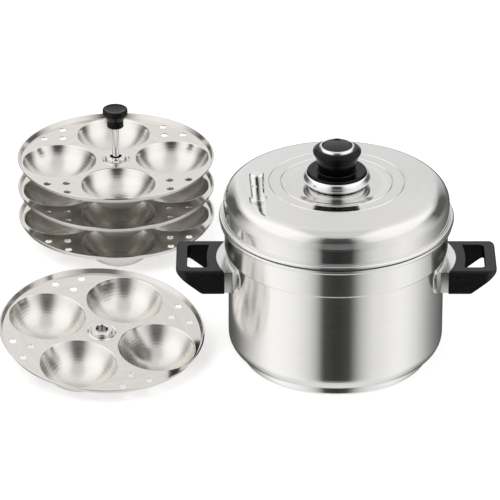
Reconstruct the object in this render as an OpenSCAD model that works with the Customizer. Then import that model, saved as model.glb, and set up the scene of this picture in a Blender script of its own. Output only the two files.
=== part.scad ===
// Idli steamer: a lidded stockpot with side handles, a stand with three idli plates on a rod,
// and a fourth, loose plate. Lengths in millimetres. The origin is the middle of the pot's base
// on the table, +X to the pot's right handle, +Y to the back, +Z up.

/* [Pot] */
// Outer radius of the pot's body
pot_radius = 99; // [92:0.5:106]
// Height of the pot from the table to the top of its rolled rim
pot_height = 137.8; // [120:0.1:160]
// Thickness of the pot's sheet
pot_sheet = 0.9; // [0.7:0.1:1.2]
// Radius where the pot's wall turns into its floor
pot_fillet = 16; // [10:0.5:20]
// Height of the capsule base under the floor
base_height = 7; // [5:0.5:9]
// How far the base disc stands in from the pot's wall
base_inset = 12.2; // [11:0.1:17]
// Radius of the capsule base's rounded edge
base_round = 2.2; // [1:0.1:2.4]
// Thickness of the steel cap on the capsule base
base_cap_sheet = 0.6; // [0.4:0.1:1]
// Height of the wider collar under the rim, with the rim
collar_height = 29.5; // [20:0.5:31]
// How far the collar stands out from the body
collar_step = 3.5; // [2.4:0.1:4.5]
// Radius of the rolled bead at the rim
rim_bead = 2.3; // [1.8:0.1:3]

/* [Brackets and handles] */
// How far the bracket's front stands from the pot's wall
bracket_reach = 11.2; // [9:0.1:13]
// Radius of the bracket's curved front, seen from above
bracket_curve = 70; // [60:1:100]
// Width of the bracket's box
bracket_width = 64; // [56:1:68]
// Height of the bracket's box
bracket_height = 21; // [18:0.5:23]
// Thickness of the bracket's sheet
bracket_sheet = 1.5; // [1:0.1:2]
// Length of each weld flange beside the box
flange_length = 12; // [8:0.5:14]
// Height of the weld flanges
flange_height = 23; // [18:0.5:25]
// How far the weld flanges' middle stands above the box's middle
flange_lift = 4; // [0:0.5:5]
// Thickness of the weld flanges
flange_sheet = 1.4; // [1:0.1:2]
// How far the handles' flat top stands below the collar's step
handle_drop = 10.3; // [8:0.1:16]
// Length of a handle from its bracket to its outer end
handle_reach = 36.8; // [33:0.1:44]
// Height of a handle beside the bracket
handle_height = 24; // [20:0.5:26]
// Height of a handle at its outer end
handle_end_height = 5; // [5:0.5:12]
// Width of a handle
handle_width = 64; // [58:1:68]
// Corner radius of a handle, seen from above
handle_corner = 11; // [6:0.5:14]
// Edge rounding of a handle
handle_round = 3; // [1.5:0.1:4]
// Rounding of a handle's outer end, seen from the side
handle_tip = 2.2; // [1.5:0.1:2.4]
// Thickness of the bar between bracket and finger gap
inner_bar = 8.6; // [7:0.1:12]
// Thickness of the outer bar
outer_bar = 10; // [8:0.1:13]
// Width of each side bar
side_bar = 9.5; // [8:0.5:13]
// Corner radius of the finger gap
gap_corner = 5; // [3:0.5:7]
// Diameter of the handle screws
screw_diameter = 5; // [4:0.5:6]
// Diameter of the screws' heads
screw_head = 9; // [8:0.5:10]

/* [Lid] */
// How far the lid's wall stands out past the pot's collar
lid_overhang = 1; // [0.2:0.1:2]
// Height of the lid from its seat to the crest at the pressed ring
lid_height = 36.6; // [32:0.2:44]
// Shoulder radius of the lid
lid_shoulder = 17; // [12:0.5:20]
// Thickness of the lid's sheet
lid_sheet = 0.8; // [0.6:0.1:1]
// Radius of the ball that the lid's crown is a part of
lid_crown = 600; // [400:10:1500]
// Distance of the outer pressed ring from the lid's wall
ring_inset = 41.5; // [38:0.5:44]
// Distance between the two pressed rings
ring_space = 11; // [8:0.5:13]
// Depth of the pressed rings
ring_depth = 0.5; // [0.3:0.1:0.7]
// Width of the pressed rings
ring_width = 1.6; // [1.2:0.1:3]
// Depth of the soft dish round the knob
dish_step = 1.4; // [0.8:0.1:2]
// Radius of the rolled hem that rests on the pot
hem_bead = 2.1; // [1.7:0.1:2.6]
// Depth of the skirt that drops inside the pot
skirt_depth = 7; // [5:0.5:11]
// Free space between the skirt and the pot's collar
skirt_clearance = 0.6; // [0.3:0.1:1]
// Free space left between pieces that rest on each other
seat_gap = 0.2; // [0.1:0.05:0.3]

/* [Lid knob] */
// Radius of the knob's black foot at the lid
foot_radius = 18.5; // [16:0.5:22]
// Height of the knob's black foot
knob_foot_height = 4.4; // [3.6:0.1:6]
// Radius of the chrome dish under the knob
dish_rim = 31; // [29:0.5:34]
// Height of the chrome dish
dish_height = 4.6; // [4.2:0.1:7]
// Radius of the black flange
knob_flange_radius = 27.5; // [25:0.5:28]
// Thickness of the black flange
knob_flange = 5; // [4.4:0.1:6]
// Radius of the knob's neck at its bottom
neck_radius = 16.2; // [13:0.1:17]
// Height of the neck
neck_height = 12; // [9:0.5:16]
// How much wider the neck is at its top
neck_flare = 2.9; // [1:0.1:3.6]
// Radius of the knob's head
head_radius = 22; // [19:0.5:25]
// Height of the knob's head
head_height = 11.2; // [9:0.1:14]
// Outer radius of the chrome trim ring
trim_radius = 16.6; // [14:0.1:17.2]
// Width of the chrome trim ring
trim_width = 2.7; // [2:0.1:3.2]
// How far the trim ring's outer side shows above the head's shoulder
trim_drop = 1.4; // [0.6:0.1:2]

/* [Steam vent] */
// Distance of the vent from the lid's wall
vent_inset = 24.8; // [24:0.1:29]
// Direction of the vent on the lid in degrees, 0 to the right handle
vent_angle = 204.5; // [195:0.5:225]
// Lean of the vent away from the lid's middle in degrees
vent_lean = 4; // [0:0.5:8]
// Diameter of the vent pipe
vent_diameter = 13.5; // [10:0.1:15]
// Height of the vent above the lid
vent_height = 27.5; // [20:0.5:32]
// Diameter of the vent's seat ring
vent_seat_diameter = 16.6; // [15.6:0.1:17]
// Diameter of the steam passage
vent_bore = 4; // [3:0.1:5]

/* [Idli plates] */
// Outer radius of a plate
plate_radius = 95; // [93.5:0.1:96.5]
// Thickness of a plate's sheet
plate_sheet = 0.8; // [0.6:0.1:1]
// Height of the upturned rim
plate_rim = 4; // [2.5:0.1:5]
// Width of the rim's flat lip
plate_lip = 1.4; // [1:0.1:2]
// Radius of a cup's mouth
cup_mouth = 35.3; // [32:0.1:35.6]
// Depth of a cup
cup_depth = 21; // [16:0.5:22]
// Rounding at a cup's mouth
cup_round = 1.6; // [1:0.1:2.4]
// Distance of the cups from the plate's middle
cup_place = 54.6; // [53:0.1:54.9]
// Diameter of the steam holes
steam_hole = 7; // [5:0.1:8]
// Distance of the outer steam holes from the middle
outer_holes = 83.8; // [80:0.1:84.5]
// Half the angle between two outer steam holes
outer_hole_spread = 9; // [7:0.5:11]
// Distance of the inner steam holes from the middle
inner_hole = 70; // [65:0.5:72]

/* [Stand] */
// Distance from plate to plate
plate_pitch = 31; // [28:0.5:34]
// Diameter of the stand's rod
rod_diameter = 6.6; // [5:0.1:8]
// Bore of the upper plates' hubs
hub_bore = 10.7; // [8.5:0.1:11]
// Diameter of a hub's sleeve
sleeve_diameter = 14.6; // [13.5:0.1:16]
// Diameter of a hub's boss
boss_diameter = 21.6; // [18:0.1:24]
// Height of a hub's boss above its plate
boss_height = 3.6; // [2.4:0.1:4.5]
// Diameter of the pressed ring round the hub
hub_ring = 25.4; // [24.6:0.1:28]
// Diameter of the foot nut's flange
foot_diameter = 20; // [17:0.5:24]
// Height of the foot nut
foot_height = 7; // [5:0.5:10]
// Diameter of the stand's knob
stand_knob_head = 24; // [19:0.5:27]
// Height of the stand's knob
stand_knob_height = 19; // [16:0.5:26]
// Diameter of the stand knob's neck
stand_knob_neck = 16; // [13:0.1:18]

/* [Layout] */
// Place of the stand on the table, to the left of the pot
stand_x = -209; // [-240:1:-205]
// Place of the stand on the table, to the back of the pot
stand_y = 230; // [205:1:260]
// Turn of the stand's plates in degrees
stand_turn = 4; // [-45:1:45]
// Place of the loose plate on the table, to the left of the pot
loose_x = -216; // [-260:1:-207]
// Place of the loose plate on the table, to the back of the pot
loose_y = -17; // [-60:1:0]
// Turn of the loose plate in degrees
loose_turn = -21; // [-60:1:60]
// Direction that the loose plate tips to, between two of its cups
loose_tip = 45; // [45:90:315]

/* [Smoothness] */
// Number of facets on a circle
smooth = 72; // [48:8:128]
// Number of steps in a quarter arc
arc_steps = 7; // [4:1:14]

/* [Hidden] */
$fn = smooth;
// How far a cutter runs past the face it opens
cut = 1;
// Radius at which a profile on the axis ends
axis_bore = 0.01;
// Free space between pieces that are pressed or moulded together
press_gap = 0.03;

// Pot
floor_top = base_height + pot_sheet;
step_z = pot_height - collar_height;
step_bend = collar_step / 2;
collar_radius = pot_radius + collar_step;
rim_centre_r = collar_radius + rim_bead * 0.75;
rim_centre_z = pot_height - rim_bead;
base_radius = pot_radius - base_inset;
core_radius = base_radius - base_cap_sheet;

// Brackets and handles
bracket_front = pot_radius + bracket_reach;
curve_centre = bracket_front - bracket_curve;
handle_top = step_z - handle_drop;
handle_end = bracket_front + handle_reach;
bracket_top = handle_top - 0.7;
bracket_bottom = bracket_top - bracket_height;
handle_bottom = handle_top - handle_height;
screw_z = (bracket_top + bracket_bottom) / 2;
gap_inner = bracket_front + inner_bar;
gap_outer = handle_end - outer_bar;
gap_width = handle_width - 2 * side_bar;
counterbore = 3.2;
screw_tip = pot_radius + 3.4;
screw_seat = gap_inner - counterbore;

// Lid
seat_z = pot_height + seat_gap;
ring_top = seat_z + lid_height;
lid_radius = collar_radius + lid_overhang;
hem_r = lid_radius + hem_bead;
hem_z = seat_z + hem_bead;
skirt_r = collar_radius - pot_sheet - skirt_clearance;
shoulder_r = lid_radius - lid_shoulder;
ring_radius = lid_radius - ring_inset;
inner_ring = ring_radius - ring_space;
crown_z = ring_top - sqrt(pow(lid_crown, 2) - pow(ring_radius, 2));
crown_edge = acos(shoulder_r / (lid_crown - lid_shoulder));
shoulder_z = crown_z + (lid_crown - lid_shoulder) * sin(crown_edge);
knob_z = ring_top - dish_step;
knob_hole = 2.8;

// Lid knob, heights above the lid
dish_z = knob_z + knob_foot_height;
flange_z = dish_z + dish_height;
grip_z = flange_z + knob_flange;
head_z = grip_z + neck_height;
grip_top = head_z + head_height;
insert_radius = 4.2;
insert_length = 15;
knob_thread = 2.5;
trim_depth = 1.2;
trim_z = grip_top - trim_drop - trim_depth;

// Vent
vent_place = lid_radius - vent_inset;
vent_z = crown_z + sqrt(pow(lid_crown, 2) - pow(vent_place, 2));
vent_gap = 0.08;
vent_hole = 4.6;
vent_thread = 4.4;
vent_seat_height = 4;
vent_nut_height = 4;

// Plates: one stands for a plate with its top face at z = 0
cup_ball = (pow(cup_mouth, 2) + pow(cup_depth, 2)) / (2 * cup_depth);
cup_ball_z = cup_ball - cup_depth;
cup_outer = cup_ball + plate_sheet;
cup_edge_angle = -asin((cup_ball_z + cup_round) / (cup_ball + cup_round));
cup_join = (cup_ball + cup_round) * cos(cup_edge_angle);
cup_seam = 0.4;
rim_run = plate_rim * 0.5;
flat_radius = plate_radius - plate_lip - rim_run;
sleeve_length = plate_pitch - boss_height - plate_sheet - seat_gap;
plate_z = cup_depth + plate_sheet;
top_plate_z = plate_z + 2 * plate_pitch;
rod_free = plate_pitch + seat_gap;
rod_top = top_plate_z + boss_height + rod_free;
foot_z = 0.6;
rod_thread = 12;
knob_insert_r = 4;

// The loose plate rests on the end of its sleeve and on two cups
rest_reach = cup_place * cos(45);
rest_a = cup_ball_z + sleeve_length + plate_sheet;
rest_b = rest_reach - sleeve_diameter / 2;
loose_tilt = acos(cup_outer / norm([rest_a, rest_b])) - atan2(rest_b, rest_a);
loose_z = cup_outer - cup_ball_z * cos(loose_tilt) + rest_reach * sin(loose_tilt) + 0.05;

steel = [0.80, 0.80, 0.79];
polished = [0.88, 0.88, 0.88];
chrome = [0.93, 0.93, 0.95];
black = [0.09, 0.09, 0.10];
brass = [0.80, 0.66, 0.34];
aluminium = [0.70, 0.71, 0.72];

// Points on an arc from angle a to angle b about [cr, cz]
function arc(cr, cz, radius, a, b, n = arc_steps) =
    [for (i = [0:n]) let (t = a + (b - a) * i / n) [cr + radius * cos(t), cz + radius * sin(t)]];

function turned_back(points) = [for (i = [len(points) - 1:-1:0]) points[i]];

// A ring of sheet or a solid of revolution from a profile of [radius, height] points
module revolve(points) {
    rotate_extrude() polygon(points);
}

module rounded_rectangle(length, width, corner) {
    square([length - 2 * corner, width], center = true);
    square([length, width - 2 * corner], center = true);
    for (sx = [-1, 1], sy = [-1, 1])
        translate([sx * (length / 2 - corner), sy * (width / 2 - corner)]) circle(corner);
}

// A straight cylinder along +X
module rod_x(radius, x0, x1) {
    translate([x0, 0, 0]) rotate([0, 90, 0]) cylinder(r = radius, h = x1 - x0);
}

module on_side(side) {
    if (side > 0) children();
    else rotate([0, 0, 180]) children();
}

// The pot

pot_outside = concat(
    [[axis_bore, base_height]],
    arc(pot_radius - pot_fillet, base_height + pot_fillet, pot_fillet, -90, 0, 2 * arc_steps),
    arc(pot_radius + step_bend, step_z - step_bend, step_bend, 180, 90, 4),
    arc(pot_radius + step_bend, step_z + step_bend, step_bend, -90, 0, 4));
pot_inside = concat(
    [[axis_bore, floor_top]],
    arc(pot_radius - pot_fillet, base_height + pot_fillet, pot_fillet - pot_sheet, -90, 0,
        2 * arc_steps),
    arc(pot_radius + step_bend, step_z - step_bend, step_bend + pot_sheet, 180, 90, 4),
    arc(pot_radius + step_bend, step_z + step_bend, step_bend - pot_sheet, -90, 0, 4));
rim_start = 180 + acos((rim_centre_r - collar_radius) / rim_bead);

module pot_shell() {
    color(steel) revolve(concat(
        pot_outside,
        arc(rim_centre_r, rim_centre_z, rim_bead, rim_start, 450, 3 * arc_steps),
        [[collar_radius - pot_sheet, pot_height - rim_bead * 0.6]],
        turned_back(pot_inside)));
}

// Outline of a disc with a rounded lower edge, its face at the given height
function base_outline(bottom, radius, edge) = concat(
    [[axis_bore, bottom]],
    arc(radius - edge, bottom + edge, edge, -90, 0),
    [[radius, base_height]]);

// Aluminium disc bonded under the floor, inside the steel cap
module base_core() {
    color(aluminium) revolve(concat(
        base_outline(base_cap_sheet, core_radius, base_round - base_cap_sheet),
        [[axis_bore, base_height]]));
}

module base_cap() {
    color(steel) revolve(concat(
        base_outline(0, base_radius, base_round),
        turned_back(base_outline(base_cap_sheet, core_radius, base_round - base_cap_sheet))));
}

// Brackets and handles, drawn on the right side

// An upright cylinder about the axis of the bracket's curved front
module curved_front(radius, bottom, height) {
    translate([curve_centre, 0, bottom]) cylinder(r = radius, h = height);
}

// A ring of sheet on the pot's wall, cut to a rounded outline on the right side
module weld_flange() {
    middle = (bracket_top + bracket_bottom) / 2 + flange_lift;
    intersection() {
        translate([0, 0, middle - flange_height / 2]) difference() {
            cylinder(r = pot_radius + flange_sheet, h = flange_height);
            translate([0, 0, -cut]) cylinder(r = pot_radius, h = flange_height + 2 * cut);
        }
        translate([pot_radius / 2, 0, middle]) rotate([0, 90, 0])
            linear_extrude(pot_radius) rounded_rectangle(
                flange_height, bracket_width + 2 * flange_length, flange_length * 0.6);
    }
}

module bracket() {
    hollow = bracket_width - 2 * bracket_sheet;
    difference() {
        union() {
            intersection() {
                curved_front(bracket_curve, bracket_bottom, bracket_height);
                translate([pot_radius / 2, -bracket_width / 2, bracket_bottom - cut])
                    cube([pot_radius, bracket_width, bracket_height + 2 * cut]);
            }
            weld_flange();
        }
        translate([0, 0, bracket_bottom - 2 * cut])
            cylinder(r = pot_radius, h = flange_height + bracket_height);
        // the hollow of the box, open to the pot's wall
        intersection() {
            curved_front(bracket_curve - bracket_sheet, bracket_bottom + bracket_sheet,
                bracket_height - 2 * bracket_sheet);
            translate([pot_radius / 2, -hollow / 2, bracket_bottom])
                cube([pot_radius, hollow, bracket_height]);
        }
        translate([0, 0, screw_z]) rod_x(screw_diameter / 2 + press_gap, pot_radius,
            bracket_front + cut);
    }
}

module left_bracket() {
    color(steel) on_side(-1) bracket();
}

module right_bracket() {
    color(steel) on_side(1) bracket();
}

// Side outline of a handle: flat top, underside that rises to the outer end
module handle_side() {
    start = [gap_inner + 3, handle_bottom];
    centre = [handle_end - handle_tip, handle_top - handle_end_height + handle_tip];
    run = centre - start;
    slope = atan2(run[1], run[0]) - asin(handle_tip / norm(run));
    polygon(concat(
        [[pot_radius - 10, handle_bottom], start],
        arc(centre[0], centre[1], handle_tip, slope - 90, 0, 5),
        arc(centre[0], handle_top - handle_tip, handle_tip, 0, 90, 5),
        [[pot_radius - 10, handle_top]]));
}

// Outline of a handle from above, with rounded outer corners
module handle_plan() {
    half = handle_width / 2;
    far = handle_end - handle_corner;
    polygon(concat(
        [[pot_radius - 10, -half]],
        arc(far, -half + handle_corner, handle_corner, -90, 0),
        arc(far, half - handle_corner, handle_corner, 0, 90),
        [[pot_radius - 10, half]]));
}

// Cross-section of a handle, with rounded long edges
module handle_section() {
    translate([0, (handle_top + handle_bottom) / 2])
        rounded_rectangle(handle_width, handle_height, handle_round);
}

module handle_body() {
    intersection() {
        translate([0, 0, handle_bottom - cut]) linear_extrude(handle_height + 2 * cut)
            handle_plan();
        translate([0, handle_width / 2 + cut, 0]) rotate([90, 0, 0])
            linear_extrude(handle_width + 2 * cut) handle_side();
        translate([pot_radius - 10, 0, 0]) rotate([90, 0, 90])
            linear_extrude(handle_end) handle_section();
    }
}

// The finger gap, whose pot side runs parallel to the bracket
module finger_gap() {
    gap_length = gap_outer - pot_radius;
    difference() {
        translate([gap_outer - gap_length / 2, 0, handle_bottom - cut])
            linear_extrude(handle_height + 2 * cut)
                rounded_rectangle(gap_length, gap_width, gap_corner);
        translate([0, 0, handle_bottom - 2 * cut])
            cylinder(r = gap_inner, h = handle_height + 4 * cut);
    }
}

module handle() {
    difference() {
        handle_body();
        curved_front(bracket_curve + press_gap, handle_bottom - cut, handle_height + 2 * cut);
        finger_gap();
        translate([0, 0, screw_z]) {
            rod_x(screw_diameter / 2 + press_gap, bracket_front - cut, gap_inner + cut);
            rod_x(screw_head / 2 + 0.3, screw_seat, gap_inner + cut);
        }
    }
}

module left_handle() {
    color(black) on_side(-1) handle();
}

module right_handle() {
    color(black) on_side(1) handle();
}

module handle_screws() {
    slot = 1.2;
    color(chrome) for (side = [-1, 1]) on_side(side) translate([0, 0, screw_z]) difference() {
        union() {
            rod_x(screw_diameter / 2, screw_tip, screw_seat);
            rod_x(screw_head / 2, screw_seat, screw_seat + 2.8);
        }
        for (turn = [0, 90]) translate([screw_seat + 1.4, 0, 0]) rotate([turn, 0, 0])
            translate([0, -screw_head / 3, -slot / 2]) cube([2, screw_head * 2 / 3, slot]);
    }
}

// Nuts inside the brackets
module handle_nuts() {
    nut_thickness = 3.6;
    nut_width = 9.2;
    inner_curve = bracket_curve - bracket_sheet;
    nut_x = curve_centre + sqrt(pow(inner_curve, 2) - pow(nut_width / 2, 2)) - nut_thickness;
    color(steel) for (side = [-1, 1]) on_side(side) translate([nut_x, 0, screw_z])
        rotate([0, 90, 0]) difference() {
            cylinder(d = nut_width, h = nut_thickness - press_gap, $fn = 6);
            translate([0, 0, -cut])
                cylinder(r = screw_diameter / 2 + press_gap, h = nut_thickness + 2 * cut);
        }
}

// The lid

// Points across a pressed ring, from the outside in, lowered by the sheet
function pressed_ring(radius, drop) = [for (i = [-3:3])
    [radius - ring_width * i / 6, ring_top - drop - ring_depth * (1 + cos(60 * i)) / 2]];

// Points across the soft dish round the knob, from the outside in, lowered by the sheet
function soft_dish(drop) = [for (i = [0:6])
    [inner_ring - ring_width - 9 * i / 6, ring_top - drop - dish_step * (1 - cos(30 * i)) / 2]];

// Points across the crown from the first pressed ring inwards
function crown_middle(drop) = concat(
    pressed_ring(ring_radius, drop), pressed_ring(inner_ring, drop), soft_dish(drop));

// The space under the lid's crown, up to a gap above its outside
module under_crown(gap) {
    revolve(concat(
        [[axis_bore, ring_top - lid_shoulder], [shoulder_r + lid_shoulder, ring_top - lid_shoulder]],
        arc(0, crown_z, lid_crown + gap, crown_edge - 0.6, acos(ring_radius / lid_crown), 4),
        [[axis_bore, ring_top + gap]]));
}

module lid_shell() {
    inner_r = lid_radius - lid_sheet;
    ring_angle = acos((ring_radius + ring_width) / lid_crown);
    top_outside = concat(
        arc(shoulder_r, shoulder_z, lid_shoulder, 0, crown_edge, 2 * arc_steps),
        arc(0, crown_z, lid_crown, crown_edge + 0.4, ring_angle, 4),
        crown_middle(0), [[knob_hole, knob_z]]);
    top_inside = concat(
        [[knob_hole, knob_z - lid_sheet]], turned_back(crown_middle(lid_sheet)),
        arc(0, crown_z, lid_crown - lid_sheet, ring_angle, crown_edge + 0.4, 4),
        arc(shoulder_r, shoulder_z, lid_shoulder - lid_sheet, crown_edge, 0, 2 * arc_steps));
    color(polished) difference() {
        revolve(concat(
            top_outside,
            top_inside,
            [[inner_r, seat_z + 2 * lid_sheet], [skirt_r, seat_z + 2 * lid_sheet],
                [skirt_r - lid_sheet, seat_z + lid_sheet],
                [skirt_r - lid_sheet, seat_z - skirt_depth],
                [skirt_r - 0.3, seat_z - skirt_depth], [skirt_r, seat_z - skirt_depth + 1],
                [skirt_r, seat_z], [hem_r - 0.5, seat_z]],
            arc(hem_r, hem_z, hem_bead, -84, 120, 3 * arc_steps),
            [[lid_radius + 0.5, hem_z + hem_bead * 0.95], [lid_radius, hem_z + hem_bead * 1.7]]));
        on_vent_place() translate([0, 0, -3]) cylinder(r = vent_hole, h = 6);
    }
}

// Black foot between the lid and the chrome dish
module knob_foot() {
    h = knob_foot_height;
    color(black) translate([0, 0, knob_z]) revolve([
        [knob_hole, 0], [foot_radius - 0.6, 0], [foot_radius, 0.6], [foot_radius, h - 0.4],
        [foot_radius - 0.4, h], [knob_hole, h]]);
}

// Chrome dish that carries the knob: it widens from the flange to a full round rim
module knob_dish() {
    rim_round = 2;
    top_r = knob_flange_radius - 0.8;
    color(chrome) translate([0, 0, dish_z]) revolve(concat(
        [[knob_hole, 0]],
        arc(dish_rim - rim_round, rim_round, rim_round, -90, 60, 10),
        [[top_r + 0.6, dish_height - 0.4], [top_r, dish_height], [knob_hole, dish_height]]));
}

// Black flange with a raised ring round the knob's neck
module knob_flange() {
    edge = 2;
    ring = 0.9;
    color(black) translate([0, 0, flange_z]) revolve(concat(
        [[insert_radius + press_gap, 0]],
        arc(knob_flange_radius - edge, edge, edge, -90, 0, 5),
        arc(knob_flange_radius - edge, knob_flange - 0.3 - edge, edge, 0, 85, 5),
        [[neck_radius + 3.4, knob_flange - 0.4]],
        arc(neck_radius + 1.6, knob_flange - 0.3, ring, 0, 180, 6),
        [[insert_radius + press_gap, knob_flange - 0.3]]));
}

// Moulded grip: concave neck and rounded head with a recess for ring and cap
module knob_grip() {
    neck_top = neck_radius + neck_flare;
    head_wide = head_z + head_height * 0.56;
    lower_round = 3.4;
    upper_round = 3;
    shoulder = grip_top - trim_drop;
    seat = grip_z - 0.3;
    color(black) difference() {
        revolve(concat(
            [[insert_radius + press_gap, seat], [neck_radius, seat]],
            [for (i = [1:7]) let (t = i / 8)
                [neck_radius + neck_flare * pow(t, 0.75), grip_z + neck_height * t]],
            [[neck_top, head_z], [neck_top + 0.7, head_z + 0.8]],
            arc(head_radius - lower_round, head_wide, lower_round, -50, 20, 5),
            arc(trim_radius + 0.8, shoulder - upper_round, upper_round, 40, 90, 4),
            [[axis_bore, shoulder], [axis_bore, flange_z + insert_length + 0.5],
                [insert_radius + press_gap, flange_z + insert_length + 0.5]]));
        translate([0, 0, trim_z]) cylinder(r = trim_radius, h = trim_depth + cut);
    }
}

// Chrome ring let into the head, rounded from its outer side to its top
module knob_trim() {
    round = trim_width - 0.3;
    inner = trim_radius - trim_width;
    top = grip_top - trim_drop + round;
    color(chrome) revolve(concat(
        [[inner, trim_z], [trim_radius, trim_z]],
        arc(trim_radius - round, grip_top - trim_drop, round, 0, 90, 8),
        [[inner, top - 0.3]]));
}

// Slightly domed black cap inside the trim ring
module knob_cap() {
    cap_radius = trim_radius - trim_width;
    rise = 0.9;
    ball = (pow(cap_radius, 2) + pow(rise, 2)) / (2 * rise);
    edge = asin(cap_radius / ball);
    color(black) revolve(concat(
        [[axis_bore, trim_z], [cap_radius, trim_z]],
        arc(0, grip_top - 0.2 + rise - ball, ball, 90 - edge, 89.95, 6)));
}

// Threaded insert moulded into the grip
module knob_insert() {
    color(brass) translate([0, 0, flange_z]) difference() {
        cylinder(r = insert_radius, h = insert_length);
        translate([0, 0, -cut]) cylinder(r = knob_thread, h = insert_length + 2 * cut);
    }
}

module knob_screw() {
    head_top = knob_z - lid_sheet - 1.2;
    color(chrome) difference() {
        union() {
            translate([0, 0, head_top]) cylinder(r = knob_thread - press_gap,
                h = flange_z + 10 - head_top);
            translate([0, 0, head_top - 3]) cylinder(r1 = 3.6, r2 = 4.6, h = 3);
        }
        for (turn = [0, 90]) rotate([0, 0, turn]) translate([-3, -0.6, head_top - 4])
            cube([6, 1.2, 2.6]);
    }
}

module knob_washer() {
    color(steel) translate([0, 0, knob_z - lid_sheet - 1.2]) difference() {
        cylinder(r = 8, h = 1.2);
        translate([0, 0, -cut]) cylinder(r = knob_hole, h = 4);
    }
}

// The steam vent: a seat ring with a threaded spigot, a pipe and a nut under the lid.
// Ring and nut are shaped to the crown where they meet it.

module on_vent_place() {
    rotate([0, 0, vent_angle]) translate([vent_place, 0, vent_z]) rotate([0, vent_lean, 0])
        children();
}

module vent_seat() {
    r = vent_seat_diameter / 2;
    pipe_r = vent_diameter / 2;
    spigot = lid_sheet + vent_nut_height + 2;
    color(chrome) difference() {
        union() {
            difference() {
                on_vent_place() revolve(concat(
                    [[vent_bore / 2, -1.5], [r, -1.5]],
                    arc(r - 1, 2, 1, 0, 60, 3),
                    [[pipe_r + 0.5, 2.7], [pipe_r + 0.6, 3.1]],
                    arc(pipe_r + 0.2, vent_seat_height - 0.4, 0.4, 0, 90, 3),
                    [[vent_bore / 2, vent_seat_height]]));
                under_crown(vent_gap);
            }
            on_vent_place() translate([0, 0, -spigot]) cylinder(r = vent_thread, h = spigot + 2);
        }
        on_vent_place() translate([0, 0, -20]) cylinder(d = vent_bore, h = 40);
    }
}

// Hollow pipe, a little wider in its upper half, with its outlet at the back
module vent_pipe() {
    r = vent_diameter / 2;
    h = vent_height - vent_seat_height;
    top_round = 2.4;
    wall = 1.6;
    step = 0.45;
    color(chrome) on_vent_place() translate([0, 0, vent_seat_height]) difference() {
        revolve(concat(
            [[r - step - wall, 0], [r - step, 0], [r - step, h * 0.5]],
            [for (i = [1:3]) [r - step * (1 - i / 4), h * (0.5 + 0.03 * i)]],
            arc(r - top_round, h - top_round, top_round, 0, 78),
            [[axis_bore, h + 0.3], [axis_bore, h - wall], [r - wall - 1, h - wall],
                [r - wall, h - wall - 1], [r - wall, h * 0.62], [r - step - wall, h * 0.5]]));
        translate([0, 0, h * 0.8]) rotate([0, 0, 90 - vent_angle]) rotate([0, 90, 0])
            cylinder(d = vent_bore * 0.7, h = r + cut);
    }
}

module vent_nut() {
    color(steel) intersection() {
        on_vent_place() translate([0, 0, -lid_sheet - vent_nut_height - vent_gap]) difference() {
            cylinder(d = 15, h = vent_nut_height + 1, $fn = 6);
            translate([0, 0, -cut])
                cylinder(r = vent_thread + press_gap, h = vent_nut_height + 4 * cut);
        }
        under_crown(-lid_sheet - vent_gap);
    }
}

// The idli plates

// One cup's sheet, with its rounded mouth joining the flat of the plate
module cup() {
    edge = cup_edge_angle;
    revolve(concat(
        arc(0, cup_ball_z, cup_ball, -89.95, edge, 2 * arc_steps),
        arc(cup_join, -cup_round, cup_round, 180 + edge, 90, 4),
        [[cup_join + cup_seam, 0], [cup_join + cup_seam, -plate_sheet]],
        arc(cup_join, -cup_round, cup_round - plate_sheet, 90, 180 + edge, 4),
        arc(0, cup_ball_z, cup_outer, edge, -89.95, 2 * arc_steps)));
}

// Flat sheet with the upturned rim and the pressed ring round the hub
module plate_sheet_body(bore) {
    t = plate_sheet;
    ring_r = hub_ring / 2;
    bend = t * tan(atan2(plate_rim, rim_run) / 2);
    revolve([
        [bore, 0], [ring_r - 0.8, 0], [ring_r, -0.5], [ring_r + 0.8, 0],
        [flat_radius, 0], [flat_radius + rim_run, plate_rim],
        [plate_radius - 0.3, plate_rim], [plate_radius, plate_rim - t / 2],
        [plate_radius - 0.3, plate_rim - t], [flat_radius + rim_run + bend, plate_rim - t],
        [flat_radius + bend, -t], [ring_r + 0.8, -t],
        [ring_r, -t - 0.5], [ring_r - 0.8, -t], [bore, -t]]);
}

module plate_holes() {
    for (gap = [45:90:315]) {
        for (spread = [-1, 1]) rotate([0, 0, gap + spread * outer_hole_spread])
            translate([outer_holes, 0, -plate_sheet - cut])
                cylinder(d = steam_hole, h = plate_sheet + 2 * cut);
        rotate([0, 0, gap]) translate([inner_hole, 0, -plate_sheet - cut])
            cylinder(d = steam_hole, h = plate_sheet + 2 * cut);
    }
}

// A plate with its top face at z = 0 and its cups on the X and Y axes
module plate(bore) {
    difference() {
        plate_sheet_body(bore);
        for (a = [0:90:270]) rotate([0, 0, a]) translate([cup_place, 0, -3])
            cylinder(r = cup_join + cup_seam / 2, h = 6);
        plate_holes();
    }
    for (a = [0:90:270]) rotate([0, 0, a]) translate([cup_place, 0, 0]) cup();
}

// A hub riveted into a plate: boss above, collar and sleeve below
module hub(bore, sleeve) {
    boss_r = boss_diameter / 2;
    sleeve_r = sleeve_diameter / 2;
    revolve(concat(
        [[bore, -plate_sheet - sleeve], [sleeve_r - 0.4, -plate_sheet - sleeve],
            [sleeve_r, -plate_sheet - sleeve + 0.4], [sleeve_r, 0], [boss_r - 0.5, 0]],
        arc(boss_r - 0.6, 0.6, 0.6, -60, 0, 3),
        arc(boss_r - 1.6, boss_height - 1.2, 1.2, 10, 90, 4),
        [[bore + 0.5, boss_height], [bore, boss_height - 0.5]]));
}

module on_stand(level, turn = stand_turn) {
    translate([stand_x, stand_y, plate_z + level * plate_pitch]) rotate([0, 0, turn]) children();
}

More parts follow.
